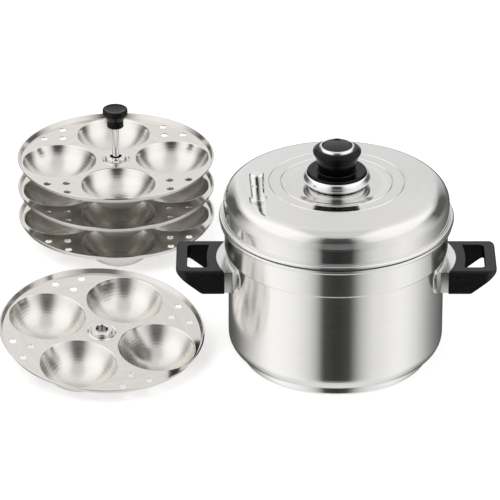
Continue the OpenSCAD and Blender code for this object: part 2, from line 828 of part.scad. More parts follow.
module on_loose_place() {
    translate([loose_x, loose_y, loose_z]) rotate([0, 0, loose_turn - loose_tip])
        rotate([0, loose_tilt, 0]) rotate([0, 0, loose_tip]) children();
}

module bottom_plate() {
    color(polished) on_stand(0) plate(sleeve_diameter / 2 + press_gap);
}

// The lowest hub is fixed to the rod and ends on the foot nut
module bottom_hub() {
    color(polished) on_stand(0)
        hub(rod_diameter / 2 + press_gap, cup_depth - foot_z - foot_height);
}

module middle_plate() {
    color(polished) on_stand(1) plate(sleeve_diameter / 2 + press_gap);
}

module middle_hub() {
    color(polished) on_stand(1) hub(hub_bore / 2, sleeve_length);
}

module top_plate() {
    color(polished) on_stand(2) plate(sleeve_diameter / 2 + press_gap);
}

module top_hub() {
    color(polished) on_stand(2) hub(hub_bore / 2, sleeve_length);
}

module loose_plate() {
    color(polished) on_loose_place() plate(sleeve_diameter / 2 + press_gap);
}

module loose_hub() {
    color(polished) on_loose_place() hub(hub_bore / 2, sleeve_length);
}

// The stand's rod, foot and knob

module stand_rod() {
    r = rod_diameter / 2;
    color(chrome) translate([stand_x, stand_y, 0]) revolve([
        [axis_bore, foot_z + 1], [r - 0.6, foot_z + 1], [r, foot_z + 1.6],
        [r, rod_top - 0.5], [r - 0.5, rod_top], [r - 0.5, rod_top + rod_thread],
        [axis_bore, rod_top + rod_thread]]);
}

module foot_nut() {
    color(chrome) translate([stand_x, stand_y, foot_z]) difference() {
        union() {
            cylinder(d = foot_diameter, h = 2);
            translate([0, 0, 2]) cylinder(d = 14, h = foot_height - 2, $fn = 6);
        }
        translate([0, 0, 1]) cylinder(r = rod_diameter / 2, h = foot_height);
    }
}

// Straight neck, a cone and a rimmed head with a dished top
module stand_knob() {
    head_r = stand_knob_head / 2;
    neck_r = stand_knob_neck / 2;
    h = stand_knob_height;
    neck_h = h * 0.42;
    cone_h = h * 0.28;
    color(black) translate([stand_x, stand_y, rod_top + seat_gap]) revolve(concat(
        [[knob_insert_r + press_gap, 0]],
        arc(neck_r - 0.8, 0.8, 0.8, -90, 0, 3),
        [[neck_r - 0.2, neck_h - 0.8], [neck_r + 0.4, neck_h]],
        arc(head_r - 1, neck_h + cone_h + 0.6, 1, -50, 0, 3),
        arc(head_r - 1.2, h - 1.2, 1.2, 0, 90, 4),
        [[head_r - 2.4, h - 0.1]],
        [for (t = [0.6, 0.3]) [head_r * t, h - 0.9 + 0.5 * t]],
        [[axis_bore, h - 0.9], [axis_bore, rod_thread + 2],
            [knob_insert_r + press_gap, rod_thread + 2]]));
}

module stand_insert() {
    color(brass) translate([stand_x, stand_y, rod_top + seat_gap]) difference() {
        cylinder(r = knob_insert_r, h = rod_thread + 2);
        translate([0, 0, -cut]) cylinder(r = rod_diameter / 2 - 0.4, h = rod_thread + 2 + 2 * cut);
    }
}

pot_shell();
base_core();
base_cap();
left_bracket();
right_bracket();
left_handle();
right_handle();
handle_screws();
handle_nuts();
lid_shell();
knob_foot();
knob_dish();
knob_flange();
knob_grip();
knob_trim();
knob_cap();
knob_insert();
knob_screw();
knob_washer();
vent_seat();
vent_pipe();
vent_nut();
stand_rod();
foot_nut();
bottom_plate();
bottom_hub();
middle_plate();
middle_hub();
top_plate();
top_hub();
stand_knob();
stand_insert();
loose_plate();
loose_hub();
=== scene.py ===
"""Dresses the idli steamer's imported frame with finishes, a studio and a camera."""

from __future__ import annotations

import logging
import math
from dataclasses import dataclass, field, replace
from enum import Enum

import bpy
from mathutils import Matrix, Vector

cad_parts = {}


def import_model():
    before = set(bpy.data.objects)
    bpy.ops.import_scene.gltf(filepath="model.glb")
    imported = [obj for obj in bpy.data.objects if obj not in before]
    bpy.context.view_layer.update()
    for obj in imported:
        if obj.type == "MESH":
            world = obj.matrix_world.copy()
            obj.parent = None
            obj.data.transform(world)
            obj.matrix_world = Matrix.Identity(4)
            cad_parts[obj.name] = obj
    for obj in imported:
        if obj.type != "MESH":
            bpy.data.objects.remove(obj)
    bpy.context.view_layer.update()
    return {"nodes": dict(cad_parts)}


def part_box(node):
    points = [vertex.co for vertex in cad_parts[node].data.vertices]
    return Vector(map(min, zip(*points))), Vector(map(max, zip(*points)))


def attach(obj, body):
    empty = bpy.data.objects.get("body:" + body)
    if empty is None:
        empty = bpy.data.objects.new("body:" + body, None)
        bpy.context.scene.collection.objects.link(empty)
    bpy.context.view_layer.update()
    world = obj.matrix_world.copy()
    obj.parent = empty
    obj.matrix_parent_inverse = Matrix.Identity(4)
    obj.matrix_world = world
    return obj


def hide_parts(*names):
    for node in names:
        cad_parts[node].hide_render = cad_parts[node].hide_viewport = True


LOG = logging.getLogger("idli_steamer")
MM = 0.001
# Keeps a point's level part; the upright direction
FLAT = (1.0, 1.0, 0.0)
UPRIGHT = (0.0, 0.0, 1.0)
# Edges sharper than these stay sharp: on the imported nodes, on a spun piece, and on a moulded one
# before its edges are rounded
PACKED_EDGE = math.radians(32)
SPUN_EDGE = math.radians(40)
MOULDED_EDGE = math.radians(35)

Colour = tuple[float, float, float, float]
Tree = bpy.types.NodeTree
Socket = bpy.types.NodeSocket


class Tone(Enum):
    """Base colours as sRGB hex values."""

    STEEL_SATIN = "#F0EFEC"
    STEEL_POLISHED = "#EAE9E7"
    STEEL_PLATE = "#EBE8E3"
    CHROME = "#F2F2F2"
    ZINC = "#B9BBBD"
    BRASS = "#C9A35A"
    ALUMINIUM = "#BFC1C3"
    PHENOLIC = "#0E0E0F"
    CAP_BLACK = "#070708"
    FLOOR = "#FFFFFF"


def linear(tone: Tone) -> Colour:
    """Turns an sRGB hex tone into a linear colour.

    Args:
        tone: The tone to convert.

    Returns:
        Linear red, green, blue and an alpha of 1.
    """
    text = tone.value.lstrip("#")
    parts = []
    for i in (0, 2, 4):
        c = int(text[i:i + 2], 16) / 255
        parts.append(c / 12.92 if c <= 0.04045 else ((c + 0.055) / 1.055) ** 2.4)
    return parts[0], parts[1], parts[2], 1.0


def grey(level: float) -> Colour:
    """Returns a linear grey of one level."""
    return level, level, level, 1.0


def add_node(tree: Tree, kind: str, sockets: dict | None = None, **settings) -> bpy.types.Node:
    """Adds a node with its settings and links.

    Args:
        tree: The tree that gets the node.
        kind: The node's type.
        sockets: Input names or numbers, each with a value or a socket to link from.
        **settings: The node's own settings.

    Returns:
        The node.
    """
    node = tree.nodes.new(kind)
    for name, value in settings.items():
        setattr(node, name, value)
    for key, value in (sockets or {}).items():
        if isinstance(value, Socket):
            tree.links.new(value, node.inputs[key])
        else:
            node.inputs[key].default_value = value
    return node


def new_material(name: str) -> bpy.types.Material:
    """Makes an empty node material.

    Args:
        name: The material's name.

    Returns:
        The material.
    """
    mat = bpy.data.materials.new(name)
    mat.use_nodes = True
    mat.node_tree.nodes.clear()
    return mat


class Lay(Enum):
    """How the polishing marks of a metal run."""

    NONE = "none"
    ROUND_AXIS = "round the piece's upright axis"
    ROUND_CUPS = "round each cup, and round the plate between the cups"


@dataclass(frozen=True)
class Place:
    """Where a turned or pressed piece lies: its axis point and its turns in degrees."""

    x: float = 0.0
    y: float = 0.0
    z: float = 0.0
    turn: float = 0.0
    tilt: float = 0.0
    spin: float = 0.0

    def euler(self) -> tuple[float, float, float]:
        """Returns the piece's turn, then tilt, then spin as one rotation."""
        turns = [Matrix.Rotation(math.radians(angle), 3, axis)
                 for angle, axis in ((self.turn, "Z"), (self.tilt, "Y"), (self.spin, "Z"))]
        return tuple((turns[0] @ turns[1] @ turns[2]).to_euler("XYZ"))


@dataclass(frozen=True)
class Crown:
    """The slight twist of a pressed flank at either side: its slope eases from foot to top."""

    middle_x: float = 0.105
    foot_z: float = 0.0763
    top_z: float = 0.1023
    foot_slope: float = 0.28
    top_slope: float = 0.084


@dataclass(frozen=True)
class Finish:
    """One real finish: its tone, gloss and the size of its marks, or of its unevenness.

    haze is what the cups have in roughness above the flat between them. cup_place is how far a
    cup's axis lies from the plate's, and cup_edge the radius of a cup's mouth, in metres. The
    underside share is painted shade: the part of the base colour kept where the surface looks
    down.
    """

    name: str
    tone: Tone
    roughness: float
    roughness_swing: float
    mark_mm: float
    mark_depth_mm: float = 0.0
    metallic: float = 1.0
    lay: Lay = Lay.NONE
    anisotropy: float = 0.0
    specular: float = 0.5
    crown: Crown | None = None
    haze: float = 0.0
    # Share of the base colour kept where the surface looks down: painted shade
    underside_painted_shade: float = 1.0
    underside_roughness: float = 0.0
    place: Place = Place()
    cup_place: float = 0.0546
    cup_edge: float = 0.0368


@dataclass
class MaterialMaker:
    """Builds procedural materials from finishes.

    Marks come from noise: darkest at the low end of noise_span, and clean metal at its high end.
    A surface starts to look down at the upper end of down_span, the height of its normal.
    """

    noise_detail: float = 4.0
    noise_span: tuple[float, float] = (0.3, 0.7)
    mark_shade: float = 0.92
    mark_strength: float = 0.25
    least_roughness: float = 0.02
    lip_width: float = 0.006
    down_span: tuple[float, float] = (-0.16, -0.02)
    _made: dict[str, bpy.types.Material] = field(default_factory=dict)

    def make(self, finish: Finish) -> bpy.types.Material:
        """Builds, or returns, the material of a finish.

        Args:
            finish: The finish to build.

        Returns:
            The material.
        """
        if finish.name not in self._made:
            self._made[finish.name] = self._build(finish)
        return self._made[finish.name]

    def _build(self, finish: Finish) -> bpy.types.Material:
        """Builds the material of a finish.

        Args:
            finish: The finish to build.

        Returns:
            The material.
        """
        mat = new_material(finish.name)
        tree = mat.node_tree
        coords = add_node(tree, "ShaderNodeTexCoord").outputs["Object"]
        shader = {"Metallic": finish.metallic, "Specular IOR Level": finish.specular}
        vector = coords
        away = None
        if finish.lay is not Lay.NONE:
            local, offset, away = self._offset(tree, coords, finish)
            vector = self._rings(tree, local, offset)
            shader["Anisotropic"] = finish.anisotropy
            shader["Anisotropic Rotation"] = 0.25
            shader["Tangent"] = self._round(tree, offset, finish)
        noise = add_node(tree, "ShaderNodeTexNoise", {
            "Vector": vector, "Scale": 1.0 / (finish.mark_mm * MM), "Detail": self.noise_detail,
        }).outputs["Fac"]
        down = self._facing_down(tree)
        shader["Base Color"] = self._colour(tree, noise, down, finish)
        shader["Roughness"] = self._roughness(tree, noise, away, down, finish)
        normal = None
        if finish.mark_depth_mm:
            normal = add_node(tree, "ShaderNodeBump", {
                "Strength": self.mark_strength, "Distance": finish.mark_depth_mm * MM,
                "Height": noise,
            }).outputs["Normal"]
        if finish.crown:
            normal = self._crown(tree, coords, finish.crown)
        if normal:
            shader["Normal"] = normal
        surface = add_node(tree, "ShaderNodeBsdfPrincipled", shader).outputs[0]
        add_node(tree, "ShaderNodeOutputMaterial", {0: surface})
        return mat

    @staticmethod
    def _offset(
        tree: Tree, coords: Socket, finish: Finish
    ) -> tuple[Socket, Socket, Socket | None]:
        """Finds how far a point lies from the axis that its marks run round.

        Args:
            tree: The material's node tree.
            coords: The socket with object coordinates.
            finish: The finish, for its lay and place.

        Returns:
            The sockets of the point in the piece's own frame, of its level offset, and of its
            distance from the nearest cup's axis, where the piece has cups.
        """
        place = finish.place
        local = add_node(tree, "ShaderNodeMapping", {
            "Vector": coords, "Location": (place.x, place.y, place.z), "Rotation": place.euler(),
        }, vector_type="TEXTURE").outputs[0]
        level = add_node(tree, "ShaderNodeVectorMath", {0: local, 1: FLAT},
                         operation="MULTIPLY").outputs[0]
        if finish.lay is Lay.ROUND_AXIS:
            return local, level, None
        size = add_node(tree, "ShaderNodeVectorMath", {0: level}, operation="ABSOLUTE").outputs[0]
        sides = add_node(tree, "ShaderNodeSeparateXYZ", {0: size})
        along_x = add_node(tree, "ShaderNodeMath", {0: sides.outputs[0], 1: sides.outputs[1]},
                           operation="GREATER_THAN").outputs[0]
        along_y = add_node(tree, "ShaderNodeMath", {0: 1.0, 1: along_x},
                           operation="SUBTRACT").outputs[0]
        pick = add_node(tree, "ShaderNodeCombineXYZ", {0: along_x, 1: along_y}).outputs[0]
        sign = add_node(tree, "ShaderNodeVectorMath", {0: level}, operation="SIGN").outputs[0]
        side = add_node(tree, "ShaderNodeVectorMath", {0: sign, 1: pick},
                        operation="MULTIPLY").outputs[0]
        cup = add_node(tree, "ShaderNodeVectorMath", {0: side, "Scale": finish.cup_place},
                       operation="SCALE").outputs[0]
        away = add_node(tree, "ShaderNodeVectorMath", {0: level, 1: cup},
                        operation="DISTANCE").outputs["Value"]
        inside = add_node(tree, "ShaderNodeMath", {0: away, 1: finish.cup_edge},
                          operation="LESS_THAN").outputs[0]
        centre = add_node(tree, "ShaderNodeVectorMath", {0: cup, "Scale": inside},
                          operation="SCALE").outputs[0]
        offset = add_node(tree, "ShaderNodeVectorMath", {0: level, 1: centre},
                          operation="SUBTRACT").outputs[0]
        return local, offset, away

    @staticmethod
    def _rings(tree: Tree, local: Socket, offset: Socket) -> Socket:
        """Turns a point into its distance from the axis and its height, for ring marks.

        Args:
            tree: The material's node tree.
            local: The socket of the point in the piece's own frame.
            offset: The socket of its level offset from the axis.

        Returns:
            The socket of the coordinates (distance, 0, height).
        """
        away = add_node(tree, "ShaderNodeVectorMath", {0: offset},
                        operation="LENGTH").outputs["Value"]
        height = add_node(tree, "ShaderNodeSeparateXYZ", {0: local}).outputs["Z"]
        return add_node(tree, "ShaderNodeCombineXYZ", {"X": away, "Z": height}).outputs[0]

    @staticmethod
    def _round(tree: Tree, offset: Socket, finish: Finish) -> Socket:
        """Finds the direction in which the marks run.

        Args:
            tree: The material's node tree.
            offset: The socket of the level offset from the axis.
            finish: The finish, for its place.

        Returns:
            The socket of the direction in object coordinates.
        """
        across = add_node(tree, "ShaderNodeVectorMath", {0: UPRIGHT, 1: offset},
                          operation="CROSS_PRODUCT").outputs[0]
        return add_node(tree, "ShaderNodeMapping", {
            "Vector": across, "Rotation": finish.place.euler(),
        }, vector_type="VECTOR").outputs[0]

    @staticmethod
    def _crown(tree: Tree, coords: Socket, crown: Crown) -> Socket:
        """Gives a pressed sheet the slight twist that its flanks have.

        Args:
            tree: The material's node tree.
            coords: The socket with object coordinates.
            crown: The twist.

        Returns:
            The socket of the turned normal.
        """
        parts = add_node(tree, "ShaderNodeSeparateXYZ", {0: coords})
        side = add_node(tree, "ShaderNodeMath", {0: parts.outputs["X"]},
                        operation="ABSOLUTE").outputs[0]
        side = add_node(tree, "ShaderNodeMath", {0: side, 1: crown.middle_x},
                        operation="SUBTRACT").outputs[0]
        slope = add_node(tree, "ShaderNodeMapRange", {
            "Value": parts.outputs["Z"], "From Min": crown.foot_z, "From Max": crown.top_z,
            "To Min": crown.foot_slope, "To Max": crown.top_slope,
        }).outputs[0]
        height = add_node(tree, "ShaderNodeMath", {0: side, 1: slope},
                          operation="MULTIPLY").outputs[0]
        return add_node(tree, "ShaderNodeBump", {
            "Strength": 1.0, "Distance": 1.0, "Height": height,
        }).outputs["Normal"]

    def _facing_down(self, tree: Tree) -> Socket:
        """Finds the surfaces that look down, such as a plate's outside or a hem's underside.

        Args:
            tree: The material's node tree.

        Returns:
            The socket of a share, 1 where the surface looks down.
        """
        normal = add_node(tree, "ShaderNodeNewGeometry").outputs["Normal"]
        up = add_node(tree, "ShaderNodeSeparateXYZ", {0: normal}).outputs["Z"]
        start, end = self.down_span
        return add_node(tree, "ShaderNodeMapRange", {
            "Value": up, "From Min": start, "From Max": end, "To Min": 1.0, "To Max": 0.0,
        }).outputs[0]

    def _colour(self, tree: Tree, noise: Socket, down: Socket, finish: Finish) -> Socket:
        """Makes a base colour that varies a little with the marks. Where the surface looks down,
        a finish may darken it as painted shade.

        Args:
            tree: The material's node tree.
            noise: The socket of the marks.
            down: The socket of how far the surface looks down.
            finish: The finish, for its tone.

        Returns:
            The socket of the colour.
        """
        base = linear(finish.tone)
        ramp = add_node(tree, "ShaderNodeValToRGB", {"Fac": noise})
        first, last = ramp.color_ramp.elements
        first.position, last.position = self.noise_span
        first.color = (*(c * self.mark_shade for c in base[:3]), 1.0)
        last.color = base
        # Painted shade: where the surface looks down, the base colour is darkened to the finish's
        # underside share
        if finish.underside_painted_shade == 1.0:
            return ramp.outputs["Color"]
        dark = (*(c * finish.underside_painted_shade for c in base[:3]), 1.0)
        return add_node(tree, "ShaderNodeMix", {
            "Factor": down, "A": ramp.outputs["Color"], "B": dark,
        }, data_type="RGBA").outputs["Result"]

    def _roughness(
        self, tree: Tree, noise: Socket, away: Socket | None, down: Socket, finish: Finish
    ) -> Socket:
        """Makes a roughness that swings with the marks, higher in the cups and underneath.

        Args:
            tree: The material's node tree.
            noise: The socket of the marks.
            away: The socket of the distance from the nearest cup's axis, or nothing.
            down: The socket of how far the surface looks down.
            finish: The finish, for its roughness.

        Returns:
            The socket of the roughness.
        """
        start, end = self.noise_span
        rough = add_node(tree, "ShaderNodeMapRange", {
            "Value": noise, "From Min": start, "From Max": end,
            "To Min": max(self.least_roughness, finish.roughness - finish.roughness_swing),
            "To Max": finish.roughness + finish.roughness_swing,
        }).outputs[0]
        if not finish.haze:
            return rough
        more = add_node(tree, "ShaderNodeMapRange", {
            "Value": away, "From Min": finish.cup_edge - self.lip_width,
            "From Max": finish.cup_edge, "To Min": finish.haze, "To Max": 0.0,
        }).outputs[0]
        rough = add_node(tree, "ShaderNodeMath", {0: rough, 1: more}, operation="ADD").outputs[0]
        return add_node(tree, "ShaderNodeMath", {
            0: down, 1: finish.underside_roughness, 2: rough,
        }, operation="MULTIPLY_ADD").outputs[0]


# Satin stainless steel, brushed round the pot: fine rings that draw highlights into upright
# bands. The real marks are finer than the picture can show, so they are drawn 0.35 mm wide.
POT_STEEL = Finish("satin_brushed_stainless", Tone.STEEL_SATIN, roughness=0.19,
                   roughness_swing=0.04, mark_mm=0.35, mark_depth_mm=0.004,
                   lay=Lay.ROUND_AXIS, anisotropy=0.8)
# Satin stainless steel of the pressed brackets and their ears: soft, with a slight twist
BRACKET_STEEL = Finish("satin_pressed_stainless", Tone.STEEL_SATIN, roughness=0.22,
                       roughness_swing=0.03, mark_mm=40.0, crown=Crown())
# Polished stainless steel of the lid, with the faint rings of its spinning; painted shade darkens
# it where it faces down
LID_STEEL = Finish("polished_stainless", Tone.STEEL_POLISHED, roughness=0.1,
                   roughness_swing=0.02, mark_mm=0.5, lay=Lay.ROUND_AXIS, anisotropy=0.4,
                   underside_painted_shade=0.1)
# Buffed stainless steel of the idli plates on the stand: bright flats, and soft cups that are
# buffed round and round
PLATE_STEEL = Finish("buffed_stainless_plate", Tone.STEEL_PLATE, roughness=0.11,
                     roughness_swing=0.02, mark_mm=7.0, lay=Lay.ROUND_CUPS, anisotropy=0.3,
                     haze=0.15, underside_roughness=0.22,
                     place=Place(-0.209, 0.230, 0.0, turn=4.0))
# The same on the loose plate, which lies tipped on two of its cups
LOOSE_STEEL = replace(PLATE_STEEL, name="buffed_stainless_loose_plate",
                      place=Place(-0.216, -0.017, 0.02805, turn=-66.0, tilt=8.897, spin=45.0))
# Polished stainless steel of the hubs: clear mirror images
HUB_STEEL = Finish("polished_stainless_hub", Tone.STEEL_POLISHED, roughness=0.1,
                   roughness_swing=0.02, mark_mm=6.0)
# Chrome plate on knob dish, vent, rod and screws: the clearest mirror of all
CHROME = Finish("chrome_plate", Tone.CHROME, roughness=0.05, roughness_swing=0.02, mark_mm=12.0)
# Zinc-plated steel of nuts and washers: dull and even
ZINC = Finish("zinc_plate", Tone.ZINC, roughness=0.3, roughness_swing=0.05, mark_mm=2.0)
# Turned brass of the threaded inserts: yellow, with fine marks
BRASS = Finish("turned_brass", Tone.BRASS, roughness=0.25, roughness_swing=0.05, mark_mm=1.0)
# Aluminium core of the capsule base: dull and greyer than the steel
ALUMINIUM = Finish("aluminium_core", Tone.ALUMINIUM, roughness=0.35, roughness_swing=0.05,
                   mark_mm=2.0)
# Black phenolic resin of the handles: slightly matt, with a faint grain
HANDLE_PHENOLIC = Finish("black_phenolic_handle", Tone.PHENOLIC, metallic=0.0, roughness=0.34,
                         roughness_swing=0.08, mark_mm=2.4, mark_depth_mm=0.02, specular=0.32)
# Black phenolic resin of the knobs: polished, with soft highlights
KNOB_PHENOLIC = Finish("black_phenolic_knob", Tone.CAP_BLACK, metallic=0.0, roughness=0.22,
                       roughness_swing=0.04, mark_mm=2.0, specular=0.2)
# Black cap on the lid's knob: glossy
CAP_GLOSS = Finish("gloss_black_cap", Tone.CAP_BLACK, metallic=0.0, roughness=0.12,
                   roughness_swing=0.02, mark_mm=6.0, specular=0.28)


@dataclass
class SubAssembly:
    """One sub-assembly of the frame's nodes."""

    nodes: dict[str, bpy.types.Object]
    maker: MaterialMaker

    def coat(self, finish: Finish, *names: str) -> None:
        """Gives nodes a finish and smooth shading.

        Args:
            finish: The finish.
            *names: The nodes' names.
        """
        for name in names:
            obj = self.nodes[name]
            obj.data.materials.clear()
            obj.data.materials.append(self.maker.make(finish))
            bpy.ops.object.select_all(action="DESELECT")
            obj.select_set(True)
            bpy.context.view_layer.objects.active = obj
            bpy.ops.object.shade_smooth_by_angle(angle=PACKED_EDGE)
            LOG.info("%s has %s", name, finish.name)

    def soften(self, width_mm: float, segments: int, *names: str) -> None:
        """Rounds the edges of moulded nodes.

        Args:
            width_mm: The rounding in millimetres.
            segments: The faces across it.
            *names: The nodes' names.
        """
        for name in names:
            bevel = self.nodes[name].modifiers.new("moulded_edges", "BEVEL")
            bevel.width = width_mm * MM
            bevel.segments = segments
            bevel.limit_method = "ANGLE"
            bevel.angle_limit = MOULDED_EDGE
            bevel.harden_normals = True


@dataclass(frozen=True)
class TurnedPiece:
    """A closed turned piece: its section as radii and heights in millimetres."""

    name: str
    section: tuple[tuple[float, float], ...]
    segments: int = 96

    def turn(self, base: float) -> bpy.types.Object:
        """Turns the piece round the upright axis.

        Args:
            base: The height in metres from which the section's heights count.

        Returns:
            The piece.
        """
        points = [(radius * MM, base + height * MM) for radius, height in self.section]
        radius, height = points[0]
        bpy.ops.object.select_all(action="DESELECT")
        bpy.ops.mesh.primitive_circle_add(vertices=self.segments, radius=radius,
                                          location=(0, 0, height))
        piece = bpy.context.object
        piece.name = self.name
        bpy.ops.object.transform_apply(location=True, rotation=True, scale=True)
        bpy.ops.object.mode_set(mode="EDIT")
        bpy.ops.mesh.select_all(action="SELECT")
        for next_radius, next_height in points[1:]:
            bpy.ops.mesh.extrude_edges_move(
                TRANSFORM_OT_translate={"value": (0, 0, next_height - height)})
            share = next_radius / radius
            bpy.ops.transform.resize(value=(share, share, 1),
                                     center_override=(0, 0, next_height))
            radius, height = next_radius, next_height
        bpy.ops.mesh.select_all(action="DESELECT")
        bpy.ops.mesh.select_non_manifold()
        bpy.ops.mesh.bridge_edge_loops()
        bpy.ops.mesh.select_all(action="SELECT")
        bpy.ops.mesh.normals_make_consistent(inside=False)
        bpy.ops.object.mode_set(mode="OBJECT")
        return piece


@dataclass
class Pot(SubAssembly):
    """The pot with its capsule base, brackets and handles."""

    handle_edge_mm: float = 1.6
    handle_edge_faces: int = 3

    def dress(self) -> None:
        """Dresses the pot."""
        self.coat(POT_STEEL, "pot_shell", "base_cap")
        self.coat(BRACKET_STEEL, "left_bracket", "right_bracket")
        self.coat(ALUMINIUM, "base_core")
        self.coat(HANDLE_PHENOLIC, "left_handle", "right_handle")
        self.coat(CHROME, "handle_screws")
        self.coat(ZINC, "handle_nuts")
        self.soften(self.handle_edge_mm, self.handle_edge_faces, "left_handle", "right_handle")


@dataclass
class Lid(SubAssembly):
    """The lid with its knob and its steam vent."""

    dish: TurnedPiece = TurnedPiece("knob_dish_spun", (
        (3.0, 0.0), (3.0, -4.5), (18.7, -4.5), (18.7, -8.9), (25.4, -8.9), (27.4, -7.5),
        (29.2, -5.9), (30.4, -4.2), (31.0, -2.7), (30.8, -1.6), (30.3, -0.5), (29.6, 0.6),
        (28.9, 1.5), (28.2, 2.1), (27.7, 2.3), (27.55, 2.1), (27.55, 0.0), (24.0, -0.05),
    ))

    def dress(self) -> None:
        """Dresses the lid."""
        self._spin_dish()
        self.coat(LID_STEEL, "lid_shell")
        self.coat(CHROME, "knob_trim", "knob_screw", "vent_seat", "vent_pipe")
        self.coat(KNOB_PHENOLIC, "knob_foot", "knob_flange", "knob_grip")
        self.coat(CAP_GLOSS, "knob_cap")
        self.coat(BRASS, "knob_insert")
        self.coat(ZINC, "knob_washer", "vent_nut")

    def _spin_dish(self) -> None:
        """Puts a dish with a full rolled rim in place of the plain one under the knob."""
        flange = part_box("knob_flange")[0][2]
        dish = self.dish.turn(flange)
        dish.data.materials.append(self.maker.make(CHROME))
        bpy.ops.object.shade_smooth_by_angle(angle=SPUN_EDGE)
        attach(dish, "lid")
        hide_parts("knob_dish")
        LOG.info("%s has %s and takes the place of knob_dish", dish.name, CHROME.name)


@dataclass
class Stand(SubAssembly):
    """The rod with its three plates, its foot nut and its knob."""

    def dress(self) -> None:
        """Dresses the stand."""
        self.coat(PLATE_STEEL, "bottom_plate", "middle_plate", "top_plate")
        self.coat(HUB_STEEL, "bottom_hub", "middle_hub", "top_hub")
        self.coat(CHROME, "stand_rod", "foot_nut")
        self.coat(KNOB_PHENOLIC, "stand_knob")
        self.coat(BRASS, "stand_insert")


@dataclass
class LoosePlate(SubAssembly):
    """The plate that lies by itself."""

    def dress(self) -> None:
        """Dresses the loose plate."""
        self.coat(LOOSE_STEEL, "loose_plate")
        self.coat(HUB_STEEL, "loose_hub")


@dataclass(frozen=True)
class Shot:
    """The camera: where it looks, from how far and how high."""

    target: tuple[float, float, float] = (-0.0791, 0.0, 0.1041)
    distance: float = 4.0
    elevation: float = 27.5
    span: float = 0.4596
    sensor: float = 36.0

    def place(self) -> None:
        """Adds the camera."""
        data = bpy.data.cameras.new("camera")
        data.sensor_width = self.sensor
        data.lens = self.sensor * self.distance / self.span
        camera = bpy.data.objects.new("camera", data)
        bpy.context.collection.objects.link(camera)
        up = math.radians(self.elevation)
        away = Vector((0, -math.cos(up), math.sin(up))) * self.distance
        camera.location = Vector(self.target) + away
        camera.rotation_euler = (-away).to_track_quat("-Z", "Y").to_euler()
        bpy.context.scene.camera = camera


Levels = tuple[tuple[float, float], ...]

# Levels of the cloth tent by direction: degrees from the camera's side, 90 to the right.
# A black flag hangs in front. Below the horizon the tent darkens towards the back.
TENT_LOW: Levels = (
    (-180, 0.08), (-150, 0.10), (-135, 0.14), (-125, 0.22), (-109, 0.52), (-95, 0.80),
    (-83, 1.02), (-73, 1.12), (-60, 1.09), (-50, 1.04), (-42, 0.97), (-34, 0.86), (-26, 0.68),
    (-19, 0.40), (-14, 0.05), (0, 0.03), (14, 0.05), (19, 0.25), (25, 0.52), (33, 0.74),
    (41, 0.88), (50, 0.91), (60, 1.0), (69, 1.04), (80, 0.99), (93, 0.82), (107, 0.56),
    (120, 0.34), (136, 0.20), (158, 0.10), (180, 0.08),
)
# From the horizon to half-way up: dark flags stand at the back corners.
TENT_MIDDLE: Levels = (
    (-180, 0.86), (-162, 0.93), (-152, 0.5), (-142, 0.12), (-118, 0.12), (-106, 0.5),
    (-90, 0.98), (-60, 1.06), (-38, 0.97), (-22, 0.56), (-14, 0.20), (0, 0.18), (14, 0.20),
    (22, 0.5), (42, 0.88), (62, 1.02), (88, 0.95), (104, 0.55), (116, 0.12), (142, 0.12),
    (153, 0.45), (164, 0.80), (180, 0.86),
)
# Above: a soft box at either side, and the flag's upper end in front.
TENT_HIGH: Levels = (
    (-180, 0.84), (-150, 1.02), (-120, 1.24), (-60, 1.24), (-36, 1.0), (-24, 0.5), (-15, 0.08),
    (0, 0.06), (15, 0.08), (24, 0.5), (36, 1.0), (60, 1.2), (120, 1.2), (150, 0.94),
    (180, 0.84),
)


